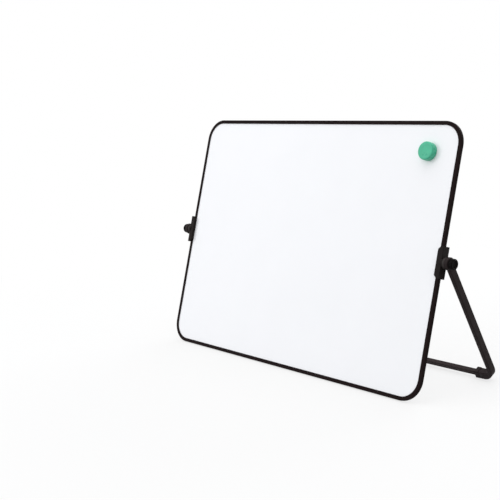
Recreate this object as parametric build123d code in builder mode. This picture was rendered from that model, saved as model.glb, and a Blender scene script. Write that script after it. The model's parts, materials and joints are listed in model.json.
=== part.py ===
"""Double-sided magnetic whiteboard on a folding desk easel, with one round magnet.

The board is two lacquered steel sheets on a fibreboard core, held in a slim plastic edge frame
made of two halves. A clip on each side covers the joint of the halves and holds a captive nut.
Two arms and a crossbar make the stand. A knob with a threaded stud clamps each arm to its clip,
so the board turns between the arms and stays at any angle.

Frame: +X along the board's width, front towards -Y, +Z up, millimetres.
Origin: on the desk, under the middle of the overall box.
"""
from build123d import *
from math import acos, atan2, cos, hypot, pi, radians, sin
import os

os.makedirs("parts", exist_ok=True)

# ---- Board ----
board_width = 420.0           # over the edge frame
board_height = 297.0          # over the edge frame
board_tilt = 16.9             # degrees the board leans back as it stands
corner_radius = 25.5          # outer corners of the edge frame
frame_depth = 4.0             # front lip to back lip
frame_lip = 4.4               # from the outer side to the lip's inner edge
frame_wall = 0.8              # thickness of each lip
frame_web = 1.2               # thickness of the outer side
frame_edge_radius = 0.7       # rounding of the long outer edges
frame_joint_gap = 0.1         # between the two halves of the frame
sheet_thickness = 0.3         # lacquered steel
board_edge_gap = 0.1          # from the sheets to the frame's web

# ---- Side clips ----
clip_height = 34.0            # along the board's side
clip_depth = 10.2             # front to back
clip_reach = 5.0              # in over the board from its outer side
clip_wall = 2.0               # outside the board's side
clip_chamfer = 3.3            # inner corners, top and bottom
clip_edge_radius = 0.6
clip_fit = 0.05               # round the edge frame
clip_screw_spacing = 22.0     # between the two screws of one clip
clip_screw_grip = 1.8         # thread depth in the front leg
boss_radius = 6.0
boss_height = 1.2             # out of the clip's side

# ---- Small screws ----
screw_radius = 0.9
screw_head_radius = 1.7
screw_head_height = 1.1
screw_head_sink = 0.2         # head below the surface
screw_slot_width = 0.5
screw_slot_depth = 0.45
screw_hole_gap = 0.1          # round a shank, in what it passes through
screw_thread_gap = 0.03       # round a shank, in what it bites

# ---- Pivot ----
stud_radius = 2.0
thread_gap = 0.03             # stud in the captive nut
bore_gap = 0.08               # stud in the arm, clip and washers
nut_flats = 7.0
nut_thickness = 2.2
nut_fit = 0.05
spacer_radius = 5.8
spacer_thickness = 2.55
running_gap = 0.05            # each side of the arm
washer_radius = 5.0
washer_thickness = 0.8
knob_radius = 5.8
knob_height = 4.2
knob_edge_radius = 0.9
knob_dish_radius = 3.6
knob_dish_depth = 1.3
knob_flutes = 20
knob_flute_radius = 0.5
stud_head_flats = 6.0
stud_head_height = 2.0
stud_tip_gap = 0.3            # from the stud's tip to the board's side

# ---- Stand ----
swing_gap = 4.0               # between the board's edge and the crossbar as the board swings past
arm_thickness = 5.0           # along X
arm_width = 8.7
arm_head_radius = 6.8
arm_edge_radius = 1.0
elbow_outer_radius = 14.0
elbow_inner_radius = 5.0
socket_length = 24.0          # from the arm's outer face to the socket's mouth
socket_neck = 9.0             # height of the socket behind its collar
collar_size = 9.4             # square, round the socket's mouth
collar_length = 4.5
collar_edge_radius = 1.3
bar_size = 5.4                # square crossbar tube
bar_wall = 0.8
bar_edge_radius = 0.7
bar_fit = 0.05                # crossbar in its sockets
bar_insert = 14.0             # how deep the crossbar goes into a socket
bar_screw_inset = 7.5         # from the socket's mouth
bar_screw_grip = 0.6          # screw tip past the tube's wall

# ---- Magnet ----
magnet_radius = 10.0
magnet_height = 7.5
magnet_edge_radius = 1.4
magnet_dish_radius = 7.0
magnet_dish_depth = 0.2
ferrite_radius = 8.0
ferrite_height = 4.5
ferrite_fit = 0.05
magnet_gap = 0.1              # between the magnet and the sheet it slides on
magnet_from_side = 40.8       # its middle, from the board's right side
magnet_from_top = 33.5        # its middle, from the board's top

# ---- Places that follow ----
tilt = radians(board_tilt)
half_width = board_width / 2
half_height = board_height / 2
half_depth = frame_depth / 2
pack_half = half_depth - frame_wall                    # the sheets and core between the lips
board_inset = frame_web + board_edge_gap
arm_length = half_height + swing_gap + bar_size / 2    # pivot to crossbar


def reach(half_a, half_b, rounding, angle):
    """How far a rounded box, turned by the angle, reaches from its middle."""
    return (half_a - rounding) * cos(angle) + (half_b - rounding) * sin(angle) + rounding


# The board's lower edge and the sockets' collars both stand on the desk, which sets the arms' lean.
# A collar is flush with its socket below, and a step round it above and at the sides.
pivot_z = reach(half_height, half_depth, frame_edge_radius, tilt)
collar_half = collar_size / 2
collar_low = socket_neck / 2
collar_rise = collar_half - collar_low
edge_down = arm_length + collar_low - collar_edge_radius
edge_forward = collar_half - collar_edge_radius
lean = atan2(edge_forward, edge_down) + acos((pivot_z - collar_edge_radius) / hypot(edge_forward, edge_down))
front_reach = reach(half_depth, half_height, frame_edge_radius, tilt)
back_reach = arm_length * sin(lean) + reach(collar_half, collar_low, collar_edge_radius, lean)
pivot_y = (front_reach - back_reach) / 2

clip_side = half_width + clip_wall
boss_end = clip_side + boss_height
arm_inner = boss_end + spacer_thickness + running_gap
arm_outer = arm_inner + arm_thickness
washer_inner = arm_outer + running_gap
knob_inner = washer_inner + washer_thickness
socket_mouth = arm_outer - socket_length
bar_half_length = socket_mouth + bar_insert

board_up = (0, sin(tilt), cos(tilt))
board_front = (0, -cos(tilt), sin(tilt))
arm_down = (0, sin(lean), -cos(lean))
arm_back = (0, cos(lean), sin(lean))
pivot = (0, pivot_y, pivot_z)
board_plane = Plane(origin=pivot, x_dir=(1, 0, 0), z_dir=board_front)
elbow_plane = Plane(origin=pivot, x_dir=(1, 0, 0), z_dir=arm_back)


def board_side(across):
    """Plane across the pivot axis: local X up the board, local Y towards its front."""
    return Plane(origin=(across, pivot_y, pivot_z), x_dir=board_up, z_dir=(1, 0, 0))


def arm_side(across):
    """Plane across the pivot axis: local X down the arm, local Y towards its back."""
    return Plane(origin=(across, pivot_y, pivot_z), x_dir=arm_down, z_dir=(1, 0, 0))


def write(part, name):
    """Label one finished piece and save it."""
    part.label = name
    export_step(part, f"parts/{name}.step")


def write_both_sides(part, name):
    """Save the right-hand piece and its mirror image."""
    write(part, f"{name}_right")
    write(mirror(part, about=Plane.YZ), f"{name}_left")


def board_outline(inset):
    """The board's rounded outline, drawn in from its outer side."""
    RectangleRounded(board_width - 2 * inset, board_height - 2 * inset, corner_radius - inset)


def clip_screw_places():
    """The four screws of the two clips, in the board's plane."""
    across = half_width - (frame_lip + board_inset) / 2
    return GridLocations(2 * across, clip_screw_spacing, 2, 2)


# ---- Board: two sheets and a core ----
def board_layer(low, high):
    """One layer of the board, with holes for the clips' screws."""
    with BuildPart() as layer:
        with BuildSketch(board_plane.offset(low)):
            board_outline(board_inset)
            with clip_screw_places():
                Circle(screw_radius + screw_hole_gap, mode=Mode.SUBTRACT)
        extrude(amount=high - low)
    return layer.part


core_half = pack_half - sheet_thickness
write(board_layer(core_half, pack_half), "board_sheet_front")
write(board_layer(-pack_half, -core_half), "board_sheet_back")
write(board_layer(-core_half, core_half), "board_core")

# ---- Edge frame: one channel, cut into halves that meet under the clips ----
with BuildPart() as channel:
    with BuildSketch(board_plane.offset(-half_depth)):
        board_outline(0)
    extrude(amount=frame_depth)
    rims = channel.faces().filter_by(Axis(pivot, board_front))
    fillet(rims.edges(), frame_edge_radius)
    with BuildSketch(board_plane.offset(-half_depth)):
        board_outline(frame_lip)
        with clip_screw_places():
            Circle(screw_radius + screw_hole_gap)
    extrude(amount=frame_depth, mode=Mode.SUBTRACT)
    with BuildSketch(board_plane.offset(-pack_half)):
        board_outline(frame_web)
    extrude(amount=2 * pack_half, mode=Mode.SUBTRACT)

for name, way in (("frame_upper", 1), ("frame_lower", -1)):
    joint_plane = Plane(origin=pivot, z_dir=[way * part for part in board_up]).offset(frame_joint_gap / 2)
    with BuildPart() as frame_half:
        add(channel.part)
        split(bisect_by=joint_plane, keep=Keep.TOP)
    write(frame_half.part, name)

# ---- Side clips ----
clip_half = clip_height / 2
clip_inner = half_width - clip_reach
with BuildPart() as side_clip:
    with BuildSketch(board_plane):
        with BuildLine():
            Polyline(
                (clip_side, -clip_half),
                (clip_side, clip_half),
                (clip_inner + clip_chamfer, clip_half),
                (clip_inner, clip_half - clip_chamfer),
                (clip_inner, clip_chamfer - clip_half),
                (clip_inner + clip_chamfer, -clip_half),
                close=True,
            )
        make_face()
    extrude(amount=clip_depth / 2, both=True)
    clip_legs = side_clip.faces().filter_by(Axis(pivot, board_front))
    fillet(clip_legs.edges(), clip_edge_radius)
    with BuildSketch(board_side(half_width + clip_fit)):
        Circle(boss_radius)
    extrude(amount=boss_end - half_width - clip_fit)
    with BuildSketch(board_side(clip_inner)):
        Rectangle(2 * clip_height, frame_depth + 2 * clip_fit)
    extrude(amount=clip_reach + clip_fit, mode=Mode.SUBTRACT)
    with BuildSketch(board_side(half_width + clip_fit)):
        RegularPolygon(nut_flats / 2 + nut_fit, 6, major_radius=False, rotation=30)
    extrude(amount=nut_thickness + nut_fit, mode=Mode.SUBTRACT)
    with BuildSketch(board_side(half_width)):
        Circle(stud_radius + bore_gap)
    extrude(amount=boss_end - half_width, mode=Mode.SUBTRACT)
    with BuildSketch(board_plane.offset(-clip_depth / 2)):
        with clip_screw_places():
            Circle(screw_head_radius + screw_hole_gap)
    extrude(amount=screw_head_sink + screw_head_height, mode=Mode.SUBTRACT)
    with BuildSketch(board_plane.offset(-clip_depth / 2)):
        with clip_screw_places():
            Circle(screw_radius + screw_hole_gap)
    extrude(amount=clip_depth / 2, mode=Mode.SUBTRACT)
    with BuildSketch(board_plane):
        with clip_screw_places():
            Circle(screw_radius + screw_thread_gap)
    extrude(amount=half_depth + clip_fit + clip_screw_grip, mode=Mode.SUBTRACT)
write_both_sides(side_clip.part, "side_clip")


def small_screw(seat_plane, places, length):
    """Slotted screws with their heads below the surface of the seat plane, pointing along its normal."""
    head_bottom = seat_plane.offset(screw_head_sink)
    with BuildPart() as screws:
        with BuildSketch(head_bottom):
            with places():
                Circle(screw_head_radius)
        extrude(amount=screw_head_height)
        with BuildSketch(head_bottom):
            with places():
                Rectangle(2 * screw_head_radius, screw_slot_width)
        extrude(amount=screw_slot_depth, mode=Mode.SUBTRACT)
        with BuildSketch(head_bottom.offset(screw_slot_depth)):
            with places():
                Circle(screw_radius)
        extrude(amount=length - screw_slot_depth)
    return screws.part


clip_screw_length = clip_depth / 2 + half_depth + clip_fit + clip_screw_grip - screw_head_sink
clip_screw_length -= screw_hole_gap
clip_screws = small_screw(board_plane.offset(-clip_depth / 2), clip_screw_places, clip_screw_length)
for name, way in (("clip_screws_right", 1), ("clip_screws_left", -1)):
    with BuildPart() as one_side:
        add([screw for screw in clip_screws.solids() if way * screw.center().X > 0])
    write(one_side.part, name)

# ---- Captive nut, spacer and washer ----
with BuildPart() as captive_nut:
    with BuildSketch(board_side(half_width + clip_fit)):
        RegularPolygon(nut_flats / 2, 6, major_radius=False, rotation=30)
        Circle(stud_radius + thread_gap, mode=Mode.SUBTRACT)
    extrude(amount=nut_thickness)
write_both_sides(captive_nut.part, "captive_nut")

with BuildPart() as friction_spacer:
    with BuildSketch(board_side(boss_end)):
        Circle(spacer_radius)
        Circle(stud_radius + bore_gap, mode=Mode.SUBTRACT)
    extrude(amount=spacer_thickness)
write_both_sides(friction_spacer.part, "friction_spacer")

with BuildPart() as knob_washer:
    with BuildSketch(arm_side(washer_inner)):
        Circle(washer_radius)
        Circle(stud_radius + bore_gap, mode=Mode.SUBTRACT)
    extrude(amount=washer_thickness)
write_both_sides(knob_washer.part, "knob_washer")

# ---- Knob and its stud ----
with BuildPart() as knob:
    with BuildSketch(arm_side(knob_inner)):
        Circle(knob_radius)
    extrude(amount=knob_height)
    fillet(knob.edges().sort_by(Axis.X)[-1], knob_edge_radius)
    with BuildSketch(arm_side(knob_inner)):
        with PolarLocations(knob_radius + knob_flute_radius / 2, knob_flutes):
            Circle(knob_flute_radius)
    extrude(amount=knob_height, mode=Mode.SUBTRACT)
    with BuildSketch(arm_side(knob_inner + knob_height)):
        Circle(knob_dish_radius)
    extrude(amount=-knob_dish_depth, taper=30, mode=Mode.SUBTRACT)
    with BuildSketch(arm_side(knob_inner)):
        RegularPolygon(stud_head_flats / 2, 6, major_radius=False)
    extrude(amount=stud_head_height, mode=Mode.SUBTRACT)
write_both_sides(knob.part, "knob")

with BuildPart() as knob_stud:
    with BuildSketch(arm_side(knob_inner)):
        RegularPolygon(stud_head_flats / 2, 6, major_radius=False)
    extrude(amount=stud_head_height)
    with BuildSketch(arm_side(half_width + stud_tip_gap)):
        Circle(stud_radius)
    extrude(amount=knob_inner - half_width - stud_tip_gap)
    chamfer(knob_stud.edges().sort_by(Axis.X)[0], stud_radius / 5)
write_both_sides(knob_stud.part, "knob_stud")

# ---- Arms: a flat bar with a round head, an elbow and a square socket ----
bar_screw_across = socket_mouth + bar_screw_inset
bar_screw_plane = elbow_plane.offset(-arm_width / 2)


def bar_screw_places():
    """The two crossbar screws, one at each end."""
    return Locations((-bar_screw_across, arm_length), (bar_screw_across, arm_length))


neck_low = arm_length + socket_neck / 2
neck_high = arm_length - socket_neck / 2
outer_centre = (arm_outer - elbow_outer_radius, neck_low - elbow_outer_radius)
inner_centre = (arm_inner - elbow_inner_radius, neck_high - elbow_inner_radius)
with BuildPart() as arm:
    with BuildSketch(elbow_plane):
        with BuildLine():
            Line((arm_inner, 0), (arm_outer, 0))
            Line((arm_outer, 0), (arm_outer, outer_centre[1]))
            CenterArc(outer_centre, elbow_outer_radius, 0, 90)
            Line((outer_centre[0], neck_low), (socket_mouth, neck_low))
            Line((socket_mouth, neck_low), (socket_mouth, neck_high))
            Line((socket_mouth, neck_high), (inner_centre[0], neck_high))
            CenterArc(inner_centre, elbow_inner_radius, 0, 90)
            Line((arm_inner, inner_centre[1]), (arm_inner, 0))
        make_face()
    extrude(amount=arm_width / 2, both=True)
    flanks = arm.faces().filter_by(Axis(pivot, arm_back))
    fillet(flanks.edges(), arm_edge_radius)
    with BuildSketch(arm_side(socket_mouth)):
        with Locations((arm_length - collar_rise, 0)):
            RectangleRounded(collar_size, collar_size, collar_edge_radius)
    extrude(amount=collar_length)
    with BuildPart(arm_side(arm_inner), mode=Mode.PRIVATE) as head:
        Cylinder(arm_head_radius, arm_thickness, align=(Align.CENTER, Align.CENTER, Align.MIN))
        fillet(head.edges().filter_by(GeomType.CIRCLE), arm_edge_radius)
    add(head.part)
    with BuildSketch(arm_side(arm_inner)):
        Circle(stud_radius + bore_gap)
    extrude(amount=arm_thickness, mode=Mode.SUBTRACT)
    with BuildSketch(arm_side(socket_mouth)):
        with Locations((arm_length, 0)):
            Rectangle(bar_size + 2 * bar_fit, bar_size + 2 * bar_fit)
    extrude(amount=bar_insert + bar_fit, mode=Mode.SUBTRACT)
    with BuildSketch(bar_screw_plane):
        with bar_screw_places():
            Circle(screw_head_radius + screw_hole_gap)
    extrude(amount=screw_head_sink + screw_head_height, mode=Mode.SUBTRACT)
    with BuildSketch(bar_screw_plane):
        with bar_screw_places():
            Circle(screw_radius + screw_hole_gap)
    extrude(amount=arm_width / 2, mode=Mode.SUBTRACT)
write_both_sides(arm.part, "arm")

# ---- Crossbar ----
with BuildPart() as crossbar:
    with BuildSketch(arm_side(-bar_half_length)):
        with Locations((arm_length, 0)):
            RectangleRounded(bar_size, bar_size, bar_edge_radius)
            Rectangle(bar_size - 2 * bar_wall, bar_size - 2 * bar_wall, mode=Mode.SUBTRACT)
    extrude(amount=2 * bar_half_length)
    with BuildSketch(bar_screw_plane):
        with bar_screw_places():
            Circle(screw_radius + screw_thread_gap)
    extrude(amount=arm_width / 2, mode=Mode.SUBTRACT)
write(crossbar.part, "crossbar")

bar_screw_length = (arm_width - bar_size) / 2 + bar_wall + bar_screw_grip - screw_head_sink
write(small_screw(bar_screw_plane, bar_screw_places, bar_screw_length), "crossbar_screws")

# ---- Magnet ----
magnet_plane = board_plane.offset(pack_half + magnet_gap)
magnet_place = (half_width - magnet_from_side, half_height - magnet_from_top)
with BuildPart() as magnet_cap:
    with BuildSketch(magnet_plane):
        with Locations(magnet_place):
            Circle(magnet_radius)
    extrude(amount=magnet_height)
    cap_top = magnet_cap.faces().sort_by(Axis(pivot, board_front))[-1]
    fillet(cap_top.edges(), magnet_edge_radius)
    with BuildSketch(magnet_plane.offset(magnet_height)):
        with Locations(magnet_place):
            Circle(magnet_dish_radius)
    extrude(amount=-magnet_dish_depth, taper=45, mode=Mode.SUBTRACT)
    with BuildSketch(magnet_plane):
        with Locations(magnet_place):
            Circle(ferrite_radius + ferrite_fit)
    extrude(amount=ferrite_height, mode=Mode.SUBTRACT)
write(magnet_cap.part, "magnet_cap")

with BuildPart() as magnet_disc:
    with BuildSketch(magnet_plane):
        with Locations(magnet_place):
            Circle(ferrite_radius)
    extrude(amount=ferrite_height)
write(magnet_disc.part, "magnet_disc")

print(f"pivot y {pivot_y:.3f} z {pivot_z:.3f}, arm lean {lean * 180 / pi:.3f} degrees, arm {arm_length:.2f}")
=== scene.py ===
"""Dresses the desk whiteboard easel: finishes for every piece, knobs and magnet modelled in full,
and a plain studio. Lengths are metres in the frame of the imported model."""
import json
import math

import bpy
from bpy.props import FloatProperty, FloatVectorProperty, IntProperty, PointerProperty
from mathutils import Matrix, Vector


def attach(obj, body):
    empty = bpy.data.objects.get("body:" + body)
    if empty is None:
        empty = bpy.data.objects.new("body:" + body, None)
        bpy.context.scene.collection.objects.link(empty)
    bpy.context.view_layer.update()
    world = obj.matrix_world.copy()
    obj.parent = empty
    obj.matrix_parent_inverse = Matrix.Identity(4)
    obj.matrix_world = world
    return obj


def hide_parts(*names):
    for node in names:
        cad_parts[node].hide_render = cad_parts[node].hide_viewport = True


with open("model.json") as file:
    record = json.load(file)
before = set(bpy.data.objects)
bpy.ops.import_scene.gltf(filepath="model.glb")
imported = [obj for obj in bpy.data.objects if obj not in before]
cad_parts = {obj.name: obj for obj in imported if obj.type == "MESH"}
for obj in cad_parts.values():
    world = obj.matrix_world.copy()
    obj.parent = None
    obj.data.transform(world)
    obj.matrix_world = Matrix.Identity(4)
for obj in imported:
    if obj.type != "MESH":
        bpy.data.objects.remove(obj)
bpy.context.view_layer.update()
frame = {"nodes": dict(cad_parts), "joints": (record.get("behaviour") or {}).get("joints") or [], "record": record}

bl_info = {
    "name": "Desk whiteboard easel",
    "version": (1, 0, 0),
    "blender": (4, 5, 0),
    "location": "3D View > Sidebar > Easel",
    "description": "Finishes, knobs, magnet and studio for a desk whiteboard easel",
    "category": "Object",
}

MM = 0.001


# ---- Places read from the frame ----
def joint(name):
    """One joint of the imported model."""
    return next(entry for entry in frame["joints"] if entry["name"] == name)


def mount(name):
    """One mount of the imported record."""
    return next(entry for entry in frame["record"]["mounts"] if entry["name"] == name)


ACROSS = Vector((1, 0, 0))
BACKWARD = Vector((0, 1, 0))
UPWARD = Vector((0, 0, 1))
PIVOT = Vector(joint("board_tilt")["pos_m"])
BOARD_FRONT = Vector(mount("front_writing_face")["axis"]).normalized()
BOARD_UP = BOARD_FRONT.cross(ACROSS)


def place(origin, x_axis, y_axis, z_axis):
    """The matrix that puts a piece modelled at the world's origin in its place."""
    turn = Matrix((x_axis, y_axis, z_axis)).transposed().to_4x4()
    return Matrix.Translation(origin) @ turn


def span(node, direction):
    """How far a node reaches along a direction, lowest and highest, from the pivot."""
    node_object = frame["nodes"][node]
    heights = [(node_object.matrix_world @ vertex.co - PIVOT).dot(direction)
               for vertex in node_object.data.vertices]
    return min(heights), max(heights)


KNOB_SPAN = span("knob_right", ACROSS)
KNOB_REACH = span("knob_right", BACKWARD)
CAP_SPAN = span("magnet_cap", BOARD_FRONT)
CAP_REACH = span("magnet_cap", ACROSS)
CAP_UP = span("magnet_cap", BOARD_UP)
DISC_SPAN = span("magnet_disc", BOARD_FRONT)
DISC_REACH = span("magnet_disc", ACROSS)

# ---- Sizes of the modelled pieces that no user would change ----
HEAD_FLATS = 6.0 * MM         # hexagon head of the stud, pressed in the knob
HEAD_HEIGHT = 2.0 * MM
HEAD_RADIUS = HEAD_FLATS / 2 / math.cos(math.radians(30))   # out to the hexagon's corners
MOUTH_ROUNDING = 0.3 * MM     # where the knob's flat ring turns down into its dish
DISH_ROUNDING = 0.35 * MM     # where the slope of the knob's dish meets its flat
FLUTE_STEPS = 8               # points round the knob for each flute
FLUTE_HALF = 2                # of them, drawn in on each side of the flute's middle
FLUTE_PHASE = math.pi / 6     # turn of the cosine that shapes a flute, from point to point
FLUTE_SKIN = 0.3 * MM         # points this far in from the knob's radius are still on its side
FLUTE_TOP_ROOM = 0.1 * MM     # and this far above the foot of its rim
FLUTE_TURN_ROOM = 0.004       # in radians, about a tenth of the way to the next point
CAP_SIDES = 128
CAP_RIM_SEGMENTS = 8
CAP_BASE_ROUNDING = 0.25 * MM     # the rim of the magnet's cap against the board
DISC_ROOM = 0.05 * MM         # between the ferrite disc and the wall of its pocket

# ---- Tolerances, to find faces and edges by their place ----
LEVEL = 1e-6                  # heights closer than this are the same
ON_RIM = 2e-5                 # as are distances from the axis
STRAIGHT = 0.9                # share of a face's normal that points the way it faces
WELD = 1e-7                   # points closer than this are joined
SMOOTH_ANGLE = math.radians(35)   # faces that meet at less than this shade as one

# ---- Studio ----
CAMERA_FROM_PIVOT = Vector((0.8529, -0.8021, 0.2021))
SENSOR_WIDTH = 36             # millimetres
FLOOR_SIZE = 30
FLOOR_DROP = 0.2 * MM         # keeps the floor clear of the easel's feet
FLOOR_NEAR = 0.3              # from the middle of the easel, where the floor starts to whiten
FLOOR_FAR = 0.8               # and where it is plain white
FLOOR_WHITENESS = 0.7         # share of plain white up to there
FLOOR_TONE_FOR_LIGHT = "#A8A8A8"
FLOOR_TONE_FOR_EYE = "#E0E0E0"
PLAIN_WHITE = (1, 1, 1, 1)
FILL_TINT = (0.985, 0.99, 1, 1)
LAMPS = (
    # name, the setting with its power, side of its square, where it hangs
    ("key_lamp", "key_power", 2.6, Vector((-1.0, -1.8, 1.3))),
    ("top_lamp", "top_power", 2.0, Vector((0.1, 0.2, 1.9))),
    ("back_lamp", "back_power", 2.0, Vector((-0.4, 2.0, 0.9))),
)


# ---- Colours ----
def linear(hex_code):
    """An sRGB hex colour as the linear red, green and blue that shaders take."""
    parts = [int(hex_code[start:start + 2], 16) / 255 for start in (1, 3, 5)]
    return tuple(part / 12.92 if part <= 0.04045 else ((part + 0.055) / 1.055) ** 2.4
                 for part in parts)


def rgba(colour):
    """A colour with full alpha."""
    return (*colour[:3], 1.0)


def hex_rgba(hex_code):
    """An sRGB hex colour as shaders take it, with full alpha."""
    return rgba(linear(hex_code))


class EaselFinish(bpy.types.PropertyGroup):
    """Colours and gloss that a user may change."""
    enamel: FloatVectorProperty(
        name="Enamel", description="White baked enamel of both writing sheets",
        subtype="COLOR", size=3, min=0, max=1, default=linear("#F4F5F8"))
    enamel_roughness: FloatProperty(
        name="Enamel roughness", description="Gloss of the writing sheets, lower is glossier",
        subtype="FACTOR", min=0, max=1, default=0.16)
    frame_black: FloatVectorProperty(
        name="Frame black", description="Warm black of the extruded edge frame",
        subtype="COLOR", size=3, min=0, max=1, default=linear("#1F1717"))
    clip_black: FloatVectorProperty(
        name="Clip black", description="Warm black of the moulded side clips",
        subtype="COLOR", size=3, min=0, max=1, default=linear("#1B1615"))
    stand_black: FloatVectorProperty(
        name="Stand black", description="Warm black of the moulded arms and spacers",
        subtype="COLOR", size=3, min=0, max=1, default=linear("#272020"))
    knob_black: FloatVectorProperty(
        name="Knob black", description="Deep black of the moulded knobs",
        subtype="COLOR", size=3, min=0, max=1, default=linear("#0D0A0A"))
    bar_black: FloatVectorProperty(
        name="Bar black", description="Powder coat of the crossbar",
        subtype="COLOR", size=3, min=0, max=1, default=linear("#342C2C"))
    magnet_green: FloatVectorProperty(
        name="Magnet green", description="Through-coloured plastic of the magnet's cap",
        subtype="COLOR", size=3, min=0, max=1, default=linear("#3EB48E"))


class EaselSizes(bpy.types.PropertyGroup):
    """Sizes of the modelled pieces that a user may change."""
    knob_rim: FloatProperty(
        name="Knob rim", description="Rounding of the knob's outer rim",
        unit="LENGTH", min=0.2 * MM, max=1.5 * MM, default=0.9 * MM)
    knob_dish: FloatProperty(
        name="Knob dish", description="Depth of the round dish in the knob's face",
        unit="LENGTH", min=0.2 * MM, max=1.4 * MM, default=1.3 * MM)
    knob_ring: FloatProperty(
        name="Knob ring", description="Width of the flat ring round the knob's dish",
        unit="LENGTH", min=0.5 * MM, max=2.5 * MM, default=1.3 * MM)
    knob_slope: FloatProperty(
        name="Knob slope", description="Width of the slope from the ring down to the dish's flat",
        unit="LENGTH", min=0.2 * MM, max=1.5 * MM, default=0.75 * MM)
    knob_flutes: IntProperty(
        name="Knob flutes", description="Grip flutes round the knob", min=8, max=40, default=20)
    knob_flute_depth: FloatProperty(
        name="Flute depth", description="Depth of each grip flute",
        unit="LENGTH", min=0.05 * MM, max=0.6 * MM, default=0.26 * MM)
    magnet_rim: FloatProperty(
        name="Magnet rim", description="Rounding of the magnet's front rim",
        unit="LENGTH", min=0.3 * MM, max=2.5 * MM, default=1.4 * MM)
    magnet_ring: FloatProperty(
        name="Magnet ring", description="Width of the raised ring round the magnet's dish",
        unit="LENGTH", min=1 * MM, max=4 * MM, default=1.6 * MM)
    magnet_slope: FloatProperty(
        name="Magnet slope", description="Width of the slope from the ring down to the dish's flat",
        unit="LENGTH", min=0.2 * MM, max=4 * MM, default=2 * MM)
    magnet_dish: FloatProperty(
        name="Magnet dish", description="Depth of the dish in the magnet's face",
        unit="LENGTH", min=0.1 * MM, max=1 * MM, default=0.2 * MM)


class EaselStudio(bpy.types.PropertyGroup):
    """Camera and lamps that a user may change."""
    lens: FloatProperty(
        name="Lens", description="Focal length on a 36 mm wide sensor",
        unit="CAMERA", min=20, max=200, default=71.99)
    heading: FloatProperty(
        name="Heading", description="Turn of the camera to the left of straight ahead",
        subtype="ANGLE", default=math.radians(49.774))
    pitch: FloatProperty(
        name="Pitch", description="Tilt of the camera below level",
        subtype="ANGLE", default=math.radians(10.009))
    roll: FloatProperty(
        name="Roll", description="Turn of the camera about its own line of sight",
        subtype="ANGLE", default=math.radians(-3.0))
    stand_at: FloatVectorProperty(
        name="Camera place", description="Where the camera stands",
        subtype="TRANSLATION", unit="LENGTH", size=3, default=PIVOT + CAMERA_FROM_PIVOT)
    key_power: FloatProperty(
        name="Key lamp", description="Power of the large lamp in front of the board",
        unit="POWER", min=0, max=200, default=21.5)
    top_power: FloatProperty(
        name="Top lamp", description="Power of the lamp overhead",
        unit="POWER", min=0, max=200, default=15.2)
    back_power: FloatProperty(
        name="Back lamp",
        description="Power of the soft lamp behind, which lights the board's back",
        unit="POWER", min=0, max=200, default=20)
    fill: FloatProperty(
        name="Fill", description="Strength of the light from all round",
        min=0, max=2, default=0.77)


# ---- Materials ----
# The black plastics have low specular levels, because the studio round them is white and their
# gloss would grey them.
def add_node(tree, kind, inputs=None, **settings):
    """Add one shader node, set its own settings, and set or link its inputs."""
    node = tree.nodes.new(kind)
    for name, value in settings.items():
        setattr(node, name, value)
    for name, value in (inputs or {}).items():
        if isinstance(value, bpy.types.NodeSocket):
            tree.links.new(value, node.inputs[name])
        else:
            node.inputs[name].default_value = value
    return node


def new_material(name):
    """An empty node material, with its output and the place of each point of the surface."""
    material = bpy.data.materials.new(name)
    material.use_nodes = True
    tree = material.node_tree
    tree.nodes.clear()
    output = add_node(tree, "ShaderNodeOutputMaterial")
    where = add_node(tree, "ShaderNodeTexCoord").outputs["Object"]
    return material, tree, output, where


def per_metre(grain_mm):
    """Noise scale for a pattern whose grains are this many millimetres across."""
    return 1.0 / (grain_mm * MM)


def noise(tree, where, grain_mm, detail=2.0, roughness=0.5):
    """Noise with grains of a real size."""
    return add_node(tree, "ShaderNodeTexNoise", {
        "Vector": where, "Scale": per_metre(grain_mm), "Detail": detail, "Roughness": roughness,
    }).outputs["Fac"]


def shade(tree, amount, dark, light, low=0.3, high=0.7):
    """A pattern turned into a blend from one colour to another."""
    ramp = add_node(tree, "ShaderNodeValToRGB", {"Fac": amount})
    ramp.color_ramp.elements[0].position = low
    ramp.color_ramp.elements[0].color = dark
    ramp.color_ramp.elements[1].position = high
    ramp.color_ramp.elements[1].color = light
    return ramp.outputs["Color"]


def vary(tree, amount, low, high):
    """A pattern turned into a range of values."""
    return add_node(tree, "ShaderNodeMapRange", {
        "Value": amount, "To Min": low, "To Max": high,
    }).outputs["Result"]


def bump(tree, height, depth_mm, strength=1.0):
    """A surface raised and sunk by a real depth."""
    return add_node(tree, "ShaderNodeBump", {
        "Height": height, "Distance": depth_mm * MM, "Strength": strength,
    }).outputs["Normal"]


def finish_surface(tree, output, inputs):
    """The surface shader, wired to the material's output."""
    surface = add_node(tree, "ShaderNodeBsdfPrincipled", inputs)
    tree.links.new(surface.outputs["BSDF"], output.inputs["Surface"])


def tinted(colour, factor):
    """A colour made darker or lighter."""
    return rgba(tuple(min(1.0, part * factor) for part in colour[:3]))


def white_baked_enamel(finish):
    """Polyester enamel baked on steel sheet: white, glossy, with a roller's faint orange peel."""
    material, tree, output, where = new_material("white_baked_enamel")
    peel = noise(tree, where, grain_mm=1.6, detail=1.0)
    wiped = noise(tree, where, grain_mm=60, detail=3.0)
    gloss = finish.enamel_roughness
    finish_surface(tree, output, {
        "Base Color": shade(tree, wiped, tinted(finish.enamel, 0.985), rgba(finish.enamel)),
        "Roughness": vary(tree, wiped, low=gloss - 0.03, high=gloss + 0.04),
        "IOR": 1.5,
        "Normal": bump(tree, peel, depth_mm=0.003),
    })
    return material


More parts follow.
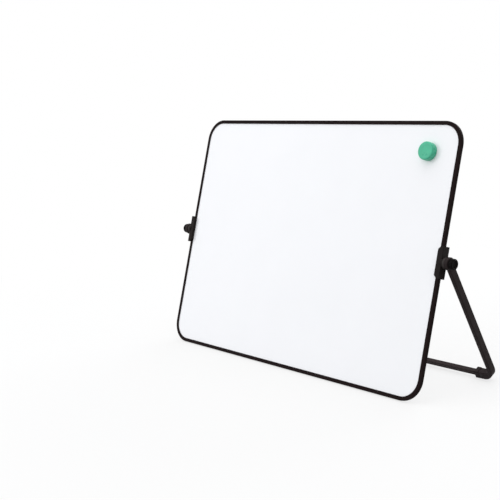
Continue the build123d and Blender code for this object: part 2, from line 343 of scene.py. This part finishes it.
def raw_fibreboard():
    """Dense fibreboard, sawn: brown, dull and speckled with fibre ends."""
    material, tree, output, where = new_material("raw_fibreboard")
    fibre = noise(tree, where, grain_mm=0.8, detail=4.0, roughness=0.7)
    finish_surface(tree, output, {
        "Base Color": shade(tree, fibre, hex_rgba("#6B4E36"), hex_rgba("#977552")),
        "Roughness": 0.85,
        "IOR": 1.5,
        "Normal": bump(tree, fibre, depth_mm=0.08),
    })
    return material


def satin_extruded_pvc(finish):
    """Rigid PVC extrusion: warm black, even satin, with a slight unevenness from the die."""
    material, tree, output, where = new_material("satin_extruded_pvc")
    die = noise(tree, where, grain_mm=9.0)
    grain = noise(tree, where, grain_mm=0.5)
    black = finish.frame_black
    finish_surface(tree, output, {
        "Base Color": shade(tree, die, tinted(black, 0.85), tinted(black, 1.15)),
        "Roughness": vary(tree, die, low=0.34, high=0.44),
        "IOR": 1.53,
        "Specular IOR Level": 0.015,
        "Normal": bump(tree, grain, depth_mm=0.01),
    })
    return material


def spark_textured_abs(name, black):
    """ABS moulded in a spark-eroded tool: warm black with a fine even matt grain.

    The real grain is about 0.1 mm; it is drawn at 0.45 mm so that it shows.
    """
    material, tree, output, where = new_material(name)
    grain = noise(tree, where, grain_mm=0.45, detail=3.0, roughness=0.65)
    flow = noise(tree, where, grain_mm=14.0)
    finish_surface(tree, output, {
        "Base Color": shade(tree, flow, tinted(black, 0.85), tinted(black, 1.2)),
        "Roughness": vary(tree, grain, low=0.42, high=0.58),
        "IOR": 1.54,
        "Specular IOR Level": 0.06,
        "Normal": bump(tree, grain, depth_mm=0.035),
    })
    return material


def satin_moulded_abs(finish):
    """ABS moulded in a bead-blasted tool: black, smoother than the arms, for the knobs."""
    material, tree, output, where = new_material("satin_moulded_abs")
    grain = noise(tree, where, grain_mm=0.4)
    black = finish.knob_black
    finish_surface(tree, output, {
        "Base Color": shade(tree, grain, tinted(black, 0.8), tinted(black, 1.1)),
        "Roughness": vary(tree, grain, low=0.3, high=0.4),
        "IOR": 1.54,
        "Specular IOR Level": 0.03,
        "Normal": bump(tree, grain, depth_mm=0.012),
    })
    return material


def matt_moulded_rubber():
    """EPDM rubber, moulded: warm black, matt, with a bloom that greys it a little."""
    material, tree, output, where = new_material("matt_moulded_rubber")
    bloom = noise(tree, where, grain_mm=2.5, detail=3.0)
    finish_surface(tree, output, {
        "Base Color": shade(tree, bloom, hex_rgba("#2B2726"), hex_rgba("#383331")),
        "Roughness": 0.72,
        "IOR": 1.52,
        "Specular IOR Level": 0.2,
        "Normal": bump(tree, bloom, depth_mm=0.02),
    })
    return material


def powder_coated_steel(finish):
    """Steel tube, powder coated: black satin with the soft ripple of a flowed coat."""
    material, tree, output, where = new_material("powder_coated_steel")
    ripple = noise(tree, where, grain_mm=0.9)
    black = finish.bar_black
    finish_surface(tree, output, {
        "Base Color": shade(tree, ripple, tinted(black, 0.9), tinted(black, 1.1)),
        "Roughness": vary(tree, ripple, low=0.36, high=0.46),
        "IOR": 1.5,
        "Specular IOR Level": 0.05,
        "Normal": bump(tree, ripple, depth_mm=0.02),
    })
    return material


def black_oxide_steel():
    """Carbon steel, chemically blacked: dark grey metal with a dull oily sheen."""
    material, tree, output, where = new_material("black_oxide_steel")
    cloud = noise(tree, where, grain_mm=1.2, detail=3.0)
    finish_surface(tree, output, {
        "Base Color": shade(tree, cloud, hex_rgba("#2A2828"), hex_rgba("#3A3838")),
        "Metallic": 1.0,
        "Roughness": vary(tree, cloud, low=0.38, high=0.5),
        "Normal": bump(tree, cloud, depth_mm=0.01),
    })
    return material


def bright_zinc_plate():
    """Steel with a clear passivated zinc plate: pale grey metal, faintly blue, softly mottled."""
    material, tree, output, where = new_material("bright_zinc_plate")
    spangle = noise(tree, where, grain_mm=1.0, detail=3.0)
    finish_surface(tree, output, {
        "Base Color": shade(tree, spangle, hex_rgba("#B4B8BE"), hex_rgba("#C9CDD2")),
        "Metallic": 1.0,
        "Roughness": vary(tree, spangle, low=0.22, high=0.34),
        "Normal": bump(tree, spangle, depth_mm=0.005),
    })
    return material


def gloss_coloured_polystyrene(finish):
    """Polystyrene moulded in a polished tool: glossy, coloured right through, with sink marks."""
    material, tree, output, where = new_material("gloss_coloured_polystyrene")
    sink = noise(tree, where, grain_mm=5.0, detail=1.0)
    green = finish.magnet_green
    finish_surface(tree, output, {
        "Base Color": shade(tree, sink, tinted(green, 0.93), tinted(green, 1.04)),
        "Roughness": vary(tree, sink, low=0.24, high=0.34),
        "IOR": 1.59,
        "Specular IOR Level": 0.3,
        "Subsurface Weight": 0.08,
        "Subsurface Radius": (0.6, 1.0, 0.8),
        "Subsurface Scale": 1.0 * MM,
        "Normal": bump(tree, sink, depth_mm=0.01),
    })
    return material


def sintered_ferrite():
    """Pressed and sintered ferrite: dark grey ceramic, dull, with fine pits and pale chips."""
    material, tree, output, where = new_material("sintered_ferrite")
    pits = noise(tree, where, grain_mm=0.35, detail=4.0, roughness=0.7)
    finish_surface(tree, output, {
        "Base Color": shade(tree, pits, hex_rgba("#2B2B2D"), hex_rgba("#4A4A4D")),
        "Roughness": 0.62,
        "IOR": 1.9,
        "Normal": bump(tree, pits, depth_mm=0.03),
    })
    return material


def dress(nodes, material):
    """Give CAD nodes one material in every slot."""
    for name in nodes:
        node_object = frame["nodes"][name]
        if not node_object.material_slots:
            node_object.data.materials.append(material)
        for material_slot in node_object.material_slots:
            material_slot.material = material


def both_sides(name):
    """A left and a right node."""
    return (f"{name}_left", f"{name}_right")


# ---- Modelling, with the tools of the edit mode ----
def add_cylinder(name, radius, low, high, sides):
    """A closed cylinder about the world's Z axis, left in edit mode with nothing selected."""
    bpy.ops.object.select_all(action="DESELECT")
    bpy.ops.mesh.primitive_cylinder_add(
        vertices=sides, radius=radius, depth=high - low, location=(0, 0, (low + high) / 2))
    piece = bpy.context.object
    piece.name = piece.data.name = name
    bpy.ops.object.mode_set(mode="EDIT")
    bpy.ops.mesh.select_all(action="DESELECT")
    return piece


def select_where(piece, mode, parts, wanted):
    """In edit mode, select only those faces, edges or vertices that pass the test."""
    bpy.ops.mesh.select_mode(type=mode)
    bpy.ops.mesh.select_all(action="DESELECT")
    bpy.ops.object.mode_set(mode="OBJECT")
    for part in getattr(piece.data, parts):
        part.select = wanted(part)
    bpy.ops.object.mode_set(mode="EDIT")


def select_flat(piece, height, facing):
    """Select the flat faces at a height that face up (1) or down (-1)."""
    def wanted(face):
        level = abs(face.center.z + piece.location.z - height) < LEVEL
        return level and face.normal.z * facing > STRAIGHT
    select_where(piece, "FACE", "polygons", wanted)


def bevel_rim(piece, height, radius, width, segments=5):
    """Round off the rim at a height and radius."""
    def on_rim(index):
        point = piece.data.vertices[index].co + piece.location
        return abs(point.z - height) < LEVEL and abs(point.xy.length - radius) < ON_RIM
    select_where(piece, "EDGE", "edges", lambda edge: all(map(on_rim, edge.vertices)))
    bpy.ops.mesh.bevel(offset=width, offset_type="OFFSET", segments=segments, profile=0.5)


def sink_base(piece, height, wall, depth):
    """Leave a wall round the bottom face at a height, and push its middle up inside it."""
    select_flat(piece, height, -1)
    bpy.ops.mesh.inset(thickness=wall, depth=0)
    bpy.ops.mesh.extrude_region_move(TRANSFORM_OT_translate={"value": (0, 0, depth)})


def dish_face(piece, height, ring, slope, depth):
    """Leave a flat ring round the top face at a height, and slope down from it to a lower flat."""
    select_flat(piece, height, 1)
    bpy.ops.mesh.inset(thickness=ring, depth=0)
    bpy.ops.mesh.inset(thickness=slope, depth=-depth)


def end_edit(piece):
    """Clean the mesh, leave edit mode, and take the piece's own place into its mesh."""
    bpy.ops.mesh.select_all(action="SELECT")
    bpy.ops.mesh.remove_doubles(threshold=WELD)
    bpy.ops.mesh.normals_make_consistent(inside=False)
    bpy.ops.object.mode_set(mode="OBJECT")
    bpy.ops.object.transform_apply(location=True, rotation=True, scale=True)


def choose(piece):
    """Make a piece the active object, and the only one selected."""
    bpy.ops.object.select_all(action="DESELECT")
    piece.select_set(True)
    bpy.context.view_layer.objects.active = piece


def copy_piece(piece, name):
    """A copy of a modelled piece, with its own mesh."""
    choose(piece)
    bpy.ops.object.duplicate(linked=False)
    copy = bpy.context.object
    copy.name = copy.data.name = name
    return copy


def settle(piece, matrix, material):
    """Move a modelled piece to its place, smooth it and give it its material."""
    choose(piece)
    piece.matrix_world = matrix
    bpy.ops.object.transform_apply(location=True, rotation=True, scale=True)
    bpy.ops.object.shade_smooth_by_angle(angle=SMOOTH_ANGLE)
    piece.data.materials.append(material)


class EASEL_OT_sheets(bpy.types.Operator):
    """Enamel both writing sheets and give the core its sawn fibreboard"""
    bl_idname = "easel.sheets"
    bl_label = "Writing sheets"

    def execute(self, context):
        enamel = white_baked_enamel(context.scene.easel_finish)
        dress(("board_sheet_front", "board_sheet_back"), enamel)
        dress(("board_core",), raw_fibreboard())
        return {"FINISHED"}


class EASEL_OT_edge_frame(bpy.types.Operator):
    """Finish the two halves of the edge frame"""
    bl_idname = "easel.edge_frame"
    bl_label = "Edge frame"

    def execute(self, context):
        dress(("frame_upper", "frame_lower"), satin_extruded_pvc(context.scene.easel_finish))
        return {"FINISHED"}


class EASEL_OT_stand(bpy.types.Operator):
    """Finish the side clips, the arms and the crossbar"""
    bl_idname = "easel.stand"
    bl_label = "Clips, arms and crossbar"

    def execute(self, context):
        finish = context.scene.easel_finish
        dress(both_sides("side_clip"),
              spark_textured_abs("spark_textured_abs_clip", finish.clip_black))
        dress(both_sides("arm"),
              spark_textured_abs("spark_textured_abs_arm", finish.stand_black))
        dress(("crossbar",), powder_coated_steel(finish))
        return {"FINISHED"}


class EASEL_OT_fittings(bpy.types.Operator):
    """Finish the screws, nuts, studs, washers and spacers"""
    bl_idname = "easel.fittings"
    bl_label = "Fittings"

    def execute(self, context):
        blacked = both_sides("clip_screws") + both_sides("knob_washer") + ("crossbar_screws",)
        dress(blacked, black_oxide_steel())
        dress(both_sides("captive_nut") + both_sides("knob_stud"), bright_zinc_plate())
        dress(both_sides("friction_spacer"), matt_moulded_rubber())
        return {"FINISHED"}


class EASEL_OT_knobs(bpy.types.Operator):
    """Model the two fluted knobs with their dished faces"""
    bl_idname = "easel.knobs"
    bl_label = "Knobs"

    def execute(self, context):
        plastic = satin_moulded_abs(context.scene.easel_finish)
        right = self.model_knob("knob_cap_right", context.scene.easel_sizes)
        left = copy_piece(right, "knob_cap_left")
        for knob, side, way in ((right, "right", 1), (left, "left", -1)):
            settle(knob, place(PIVOT, UPWARD.cross(ACROSS) * way, UPWARD, ACROSS * way), plastic)
            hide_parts(f"knob_{side}")
            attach(knob, f"knob_{side}")
        return {"FINISHED"}

    def model_knob(self, name, sizes):
        """One knob on the world's Z axis, with its face up."""
        inner, outer = KNOB_SPAN
        radius = (KNOB_REACH[1] - KNOB_REACH[0]) / 2
        mouth = radius - sizes.knob_rim - sizes.knob_ring
        bottom = outer - sizes.knob_dish
        knob = add_cylinder(name, radius, inner, outer, sizes.knob_flutes * FLUTE_STEPS)
        bevel_rim(knob, outer, radius, sizes.knob_rim)
        dish_face(knob, outer, sizes.knob_ring, sizes.knob_slope, sizes.knob_dish)
        bevel_rim(knob, outer, mouth, MOUTH_ROUNDING, segments=3)
        bevel_rim(knob, bottom, mouth - sizes.knob_slope, DISH_ROUNDING, segments=3)
        sink_base(knob, inner, radius - HEAD_RADIUS, HEAD_HEIGHT)
        self.cut_flutes(knob, sizes, radius, outer - sizes.knob_rim)
        end_edit(knob)
        return knob

    def cut_flutes(self, knob, sizes, radius, top):
        """Draw every flute's points in towards the axis, deepest in its middle."""
        pitch = 2 * math.pi / sizes.knob_flutes
        for step in range(-FLUTE_HALF, FLUTE_HALF + 1):
            depth = sizes.knob_flute_depth * math.cos(step * FLUTE_PHASE)
            angle = step * pitch / FLUTE_STEPS

            def in_flute(vertex, angle=angle):
                point = vertex.co + knob.location
                turn = math.atan2(point.y, point.x) / pitch
                off = (turn - round(turn)) * pitch
                return (point.xy.length > radius - FLUTE_SKIN and point.z < top + FLUTE_TOP_ROOM
                        and abs(off - angle) < FLUTE_TURN_ROOM)

            select_where(knob, "VERT", "vertices", in_flute)
            shrink = (radius - depth) / radius
            bpy.ops.transform.resize(value=(shrink, shrink, 1), center_override=(0, 0, 0))


class EASEL_OT_magnet(bpy.types.Operator):
    """Model the round magnet: a dished plastic cap over its ferrite disc"""
    bl_idname = "easel.magnet"
    bl_label = "Magnet"

    def execute(self, context):
        sizes = context.scene.easel_sizes
        low, high = CAP_SPAN
        radius = (CAP_REACH[1] - CAP_REACH[0]) / 2
        pocket = (DISC_REACH[1] - DISC_REACH[0]) / 2 + DISC_ROOM
        cap = add_cylinder("magnet_shell", radius, low, high, CAP_SIDES)
        bevel_rim(cap, high, radius, sizes.magnet_rim, CAP_RIM_SEGMENTS)
        dish_face(cap, high, sizes.magnet_ring, sizes.magnet_slope, sizes.magnet_dish)
        bevel_rim(cap, low, radius, CAP_BASE_ROUNDING, segments=3)
        sink_base(cap, low, radius - CAP_BASE_ROUNDING - pocket, DISC_SPAN[1] - DISC_SPAN[0])
        end_edit(cap)
        across = (CAP_REACH[0] + CAP_REACH[1]) / 2
        up = (CAP_UP[0] + CAP_UP[1]) / 2
        centre = PIVOT + ACROSS * across + BOARD_UP * up
        plastic = gloss_coloured_polystyrene(context.scene.easel_finish)
        settle(cap, place(centre, ACROSS, BOARD_UP, BOARD_FRONT), plastic)
        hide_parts("magnet_cap")
        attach(cap, "magnet")
        dress(("magnet_disc",), sintered_ferrite())
        return {"FINISHED"}


class EASEL_OT_studio(bpy.types.Operator):
    """Set the floor, the lamps, the light from all round and the camera"""
    bl_idname = "easel.studio"
    bl_label = "Studio"

    def execute(self, context):
        studio = context.scene.easel_studio
        context.scene.view_settings.view_transform = "Standard"
        bpy.ops.object.select_all(action="DESELECT")
        bpy.ops.mesh.primitive_plane_add(size=FLOOR_SIZE, location=(0, 0, -FLOOR_DROP))
        floor = bpy.context.object
        floor.name = "studio_floor"
        floor.data.materials.append(self.floor_paper())
        self.light_from_all_round(context.scene, studio.fill)
        for name, power, size, where in LAMPS:
            self.lamp(name, getattr(studio, power), size, where)
        self.camera(context.scene, studio)
        return {"FINISHED"}

    def seen_by_eye(self, tree):
        """One for a ray from the camera, or by way of gloss or glass, and nought for any other."""
        path = add_node(tree, "ShaderNodeLightPath").outputs
        seen = path["Is Camera Ray"]
        for kind in ("Is Glossy Ray", "Is Transmission Ray"):
            either = add_node(tree, "ShaderNodeMath", {0: seen, 1: path[kind]}, operation="MAXIMUM")
            seen = either.outputs["Value"]
        return seen

    def floor_paper(self):
        """Matt white paper: the eye sees its shadows near the easel, and plain white far off.

        For the light that it throws back onto the easel it is a mid grey, as a desk would be.
        """
        material, tree, output, where = new_material("matt_white_paper")
        away = add_node(tree, "ShaderNodeVectorMath", {0: where}, operation="LENGTH")
        whiteness = add_node(tree, "ShaderNodeMapRange", {
            "Value": away.outputs["Value"],
            "From Min": FLOOR_NEAR,
            "From Max": FLOOR_FAR,
            "To Min": FLOOR_WHITENESS,
            "To Max": 1.0,
        }, interpolation_type="SMOOTHSTEP")
        share = add_node(tree, "ShaderNodeMath", {
            0: self.seen_by_eye(tree),
            1: whiteness.outputs["Result"],
        }, operation="MULTIPLY")
        tone = add_node(tree, "ShaderNodeMix", {
            "Factor": self.seen_by_eye(tree),
            "A": hex_rgba(FLOOR_TONE_FOR_LIGHT),
            "B": hex_rgba(FLOOR_TONE_FOR_EYE),
        }, data_type="RGBA")
        paper = add_node(tree, "ShaderNodeBsdfDiffuse", {"Color": tone.outputs["Result"]})
        white = add_node(tree, "ShaderNodeEmission", {"Color": PLAIN_WHITE, "Strength": 1.0})
        self.blend_to_output(tree, share.outputs["Value"], paper, white, output)
        return material

    def blend_to_output(self, tree, share, first, second, output):
        """Blend from one shader to another by a share, and wire it to the output."""
        mix = add_node(tree, "ShaderNodeMixShader", {
            "Fac": share, 1: first.outputs[0], 2: second.outputs[0],
        })
        tree.links.new(mix.outputs["Shader"], output.inputs["Surface"])

    def light_from_all_round(self, scene, strength):
        """A white backdrop for the camera and for gloss, and a plain fill for the rest."""
        world = bpy.data.worlds.new("studio_white")
        scene.world = world
        world.use_nodes = True
        tree = world.node_tree
        tree.nodes.clear()
        white = add_node(tree, "ShaderNodeBackground", {"Color": PLAIN_WHITE, "Strength": 1.0})
        fill = add_node(tree, "ShaderNodeBackground", {"Color": FILL_TINT, "Strength": strength})
        output = add_node(tree, "ShaderNodeOutputWorld")
        self.blend_to_output(tree, self.seen_by_eye(tree), fill, white, output)

    def lamp(self, name, power, size, where):
        """One square soft lamp that faces the easel."""
        bpy.ops.object.light_add(type="AREA", location=where)
        lamp = bpy.context.object
        lamp.name = name
        lamp.data.energy = power
        lamp.data.size = size
        lamp.rotation_mode = "QUATERNION"
        lamp.rotation_quaternion = (PIVOT - where).to_track_quat("-Z", "Y")

    def camera(self, scene, studio):
        """The camera, turned by heading, then pitch, then roll."""
        bpy.ops.object.camera_add()
        camera = bpy.context.object
        camera.name = "studio_camera"
        camera.data.sensor_width = SENSOR_WIDTH
        camera.data.lens = studio.lens
        heading = Matrix.Rotation(studio.heading, 4, "Z")
        pitch = Matrix.Rotation(math.pi / 2 - studio.pitch, 4, "X")
        roll = Matrix.Rotation(studio.roll, 4, "Z")
        camera.matrix_world = Matrix.Translation(studio.stand_at) @ (heading @ pitch) @ roll
        scene.camera = camera


class EASEL_PT_panel(bpy.types.Panel):
    """Sizes, finishes and steps of the easel"""
    bl_label = "Desk whiteboard easel"
    bl_idname = "EASEL_PT_panel"
    bl_space_type = "VIEW_3D"
    bl_region_type = "UI"
    bl_category = "Easel"

    def draw(self, context):
        scene = context.scene
        for group in (scene.easel_finish, scene.easel_sizes, scene.easel_studio):
            box = self.layout.box()
            for name in group.__annotations__:
                box.prop(group, name)
        for step in STEPS:
            self.layout.operator(step.bl_idname)


STEPS = (
    EASEL_OT_sheets,
    EASEL_OT_edge_frame,
    EASEL_OT_stand,
    EASEL_OT_fittings,
    EASEL_OT_knobs,
    EASEL_OT_magnet,
    EASEL_OT_studio,
)
GROUPS = (EaselFinish, EaselSizes, EaselStudio)


def register():
    for one in GROUPS + STEPS + (EASEL_PT_panel,):
        bpy.utils.register_class(one)
    bpy.types.Scene.easel_finish = PointerProperty(type=EaselFinish)
    bpy.types.Scene.easel_sizes = PointerProperty(type=EaselSizes)
    bpy.types.Scene.easel_studio = PointerProperty(type=EaselStudio)


def unregister():
    del bpy.types.Scene.easel_studio
    del bpy.types.Scene.easel_sizes
    del bpy.types.Scene.easel_finish
    for one in reversed(GROUPS + STEPS + (EASEL_PT_panel,)):
        bpy.utils.unregister_class(one)


def main():
    """Make every piece in order."""
    register()
    bpy.ops.easel.sheets()
    bpy.ops.easel.edge_frame()
    bpy.ops.easel.stand()
    bpy.ops.easel.fittings()
    bpy.ops.easel.knobs()
    bpy.ops.easel.magnet()
    bpy.ops.easel.studio()


if __name__ == "__main__":
    main()
